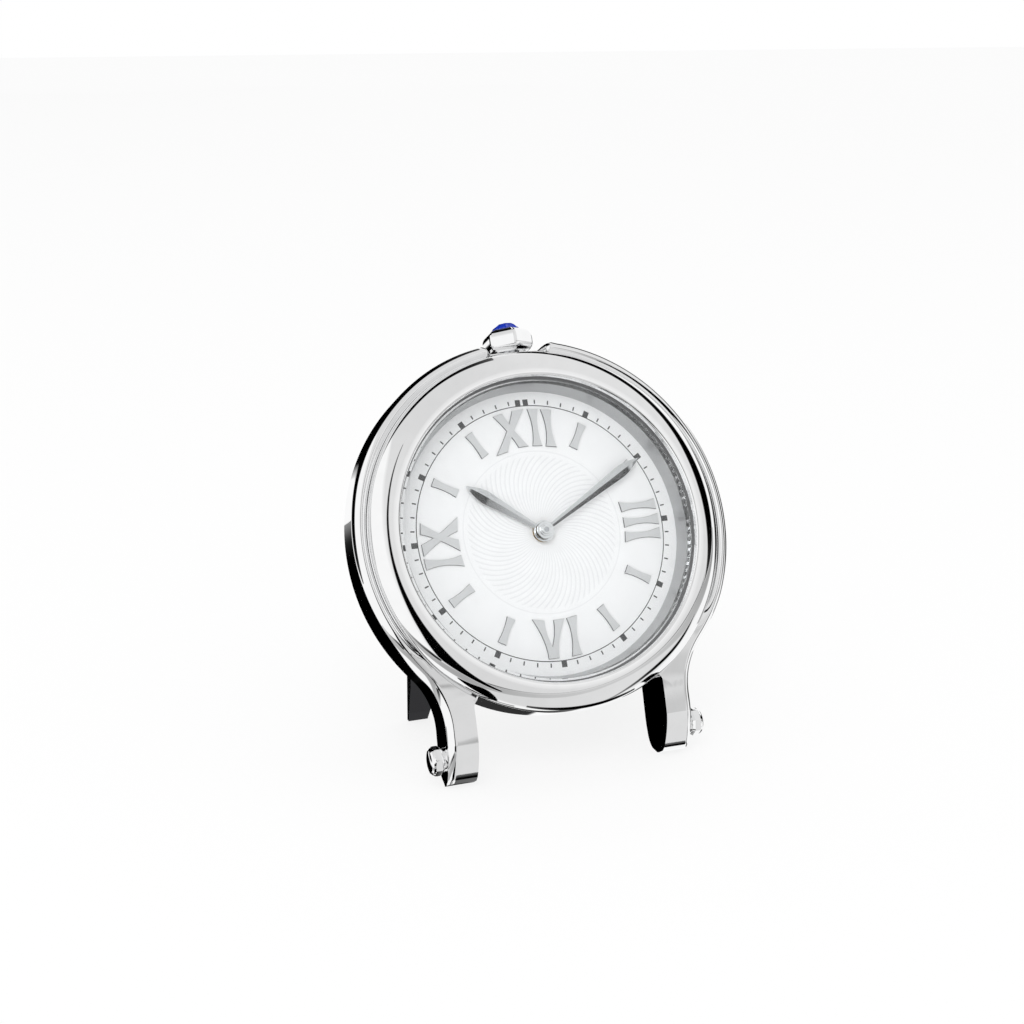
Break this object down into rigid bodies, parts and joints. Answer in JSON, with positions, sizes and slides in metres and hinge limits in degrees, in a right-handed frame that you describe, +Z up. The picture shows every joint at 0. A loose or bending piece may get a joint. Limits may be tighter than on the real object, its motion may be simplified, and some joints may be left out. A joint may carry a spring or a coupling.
{
  "type": "table clock",
  "caption": "Polished steel table clock shaped like a wrist watch head, leaning back on two lug feet and a hinged rear stand, with a crown on top.",
  "frame": {"origin": "on the ground, below the middle of the clock's width and depth", "axes": "+Z up, the dial faces -Y and leans back, +X to the viewer's right"},
  "size_m": [0.0706, 0.0424, 0.0754],
  "materials": {
    "polished_steel": "mirror polished steel",
    "crystal_glass": "clear flat mineral glass",
    "clear_gasket": "translucent nylon",
    "flange_grey": "satin silvered",
    "dial_white": "white lacquer over an engraved sunburst",
    "marker_steel": "polished, applied",
    "hand_steel": "polished, faceted",
    "movement_brass": "fine turned brass",
    "movement_nickel": "nickel plated",
    "pivot_steel": "polished steel",
    "copper_wire": "enamelled copper wire",
    "board_green": "glass epoxy board",
    "chip_black": "moulded resin",
    "can_metal": "drawn metal can",
    "cell_steel": "nickel plated steel",
    "holder_plastic": "moulded acetal",
    "seal_rubber": "moulded rubber",
    "stone_blue": "faceted blue stone",
    "stand_steel": "polished steel"
  },
  "bodies": {
    "clock_case": {"back_gasket": "seal_rubber", "battery": "cell_steel", "battery_strap": "cell_steel", "bezel": "polished_steel", "bracket_screws": "pivot_steel", "bridge_screws": "pivot_steel", "case_back": "polished_steel", "case_middle": "polished_steel", "circuit_board": "board_green", "circuit_chip": "chip_black", "coil": "copper_wire", "coil_core": "pivot_steel", "crown_tube": "pivot_steel", "crystal": "crystal_glass", "crystal_gasket": "clear_gasket", "dial": "dial_white", "flange_ring": "flange_grey", "hinge_bracket": "polished_steel", "hinge_pin": "pivot_steel", "hour_batons": "marker_steel", "hour_numerals": "marker_steel", "lug_studs": "polished_steel", "main_plate": "movement_nickel", "movement_holder": "holder_plastic", "quartz_resonator": "can_metal", "stator": "pivot_steel", "stem_clip": "pivot_steel", "train_bridge": "movement_nickel"},
    "minute_work": {"minute_hand": "hand_steel", "hand_cap": "hand_steel", "cannon_pinion": "pivot_steel", "centre_wheel": "movement_brass"},
    "hour_work": {"hour_hand": "hand_steel", "hour_wheel": "movement_brass"},
    "reduction_wheel": {"minute_wheel": "movement_brass"},
    "third_work": {"third_wheel": "movement_brass"},
    "motor_rotor": {"rotor": "pivot_steel"},
    "setting_works": {"setting_pinion": "pivot_steel"},
    "crown_group": {"crown": "polished_steel", "crown_stone": "stone_blue", "crown_seal": "seal_rubber", "setting_stem": "pivot_steel"},
    "stand": {"rear_stand": "stand_steel"}
  },
  "joints": [
    {"name": "minute_hand_turn", "type": "hinge", "parent": "clock_case", "child": "minute_work", "pos_m": [0, -0.00123, 0.04029], "axis": [0, -0.8854, 0.4648], "continuous": true},
    {"name": "hour_hand_turn", "type": "hinge", "parent": "clock_case", "child": "hour_work", "pos_m": [0, -0.00123, 0.04029], "axis": [0, -0.8854, 0.4648], "continuous": true},
    {"name": "minute_wheel_turn", "type": "hinge", "parent": "clock_case", "child": "reduction_wheel", "pos_m": [-0.00424, 0.00074, 0.04405], "axis": [0, -0.8854, 0.4648], "continuous": true},
    {"name": "third_wheel_turn", "type": "hinge", "parent": "clock_case", "child": "third_work", "pos_m": [0.00424, -0.00321, 0.03653], "axis": [0, -0.8854, 0.4648], "continuous": true},
    {"name": "rotor_turn", "type": "hinge", "parent": "clock_case", "child": "motor_rotor", "pos_m": [0.00338, -0.00547, 0.03222], "axis": [0, -0.8854, 0.4648], "continuous": true},
    {"name": "crown_turn", "type": "hinge", "parent": "clock_case", "child": "setting_works", "pos_m": [0, 0.00414, 0.04752], "axis": [0, 0.4648, 0.8854], "continuous": true},
    {"name": "crown_pull", "type": "slide", "parent": "setting_works", "child": "crown_group", "axis": [0, 0.4648, 0.8854], "range_m": [0, 0.0012]},
    {"name": "stand_fold", "type": "hinge", "parent": "clock_case", "child": "stand", "pos_m": [0, 0.01264, 0.04306], "axis": [-1, 0, 0], "range_deg": [0, 29.5]}
  ],
  "couplings": [
    {"joint": "hour_hand_turn", "follows": "minute_hand_turn", "ratio": 0.083333},
    {"joint": "minute_wheel_turn", "follows": "minute_hand_turn", "ratio": -0.33333},
    {"joint": "third_wheel_turn", "follows": "minute_hand_turn", "ratio": -9},
    {"joint": "rotor_turn", "follows": "minute_hand_turn", "ratio": 90}
  ]
}
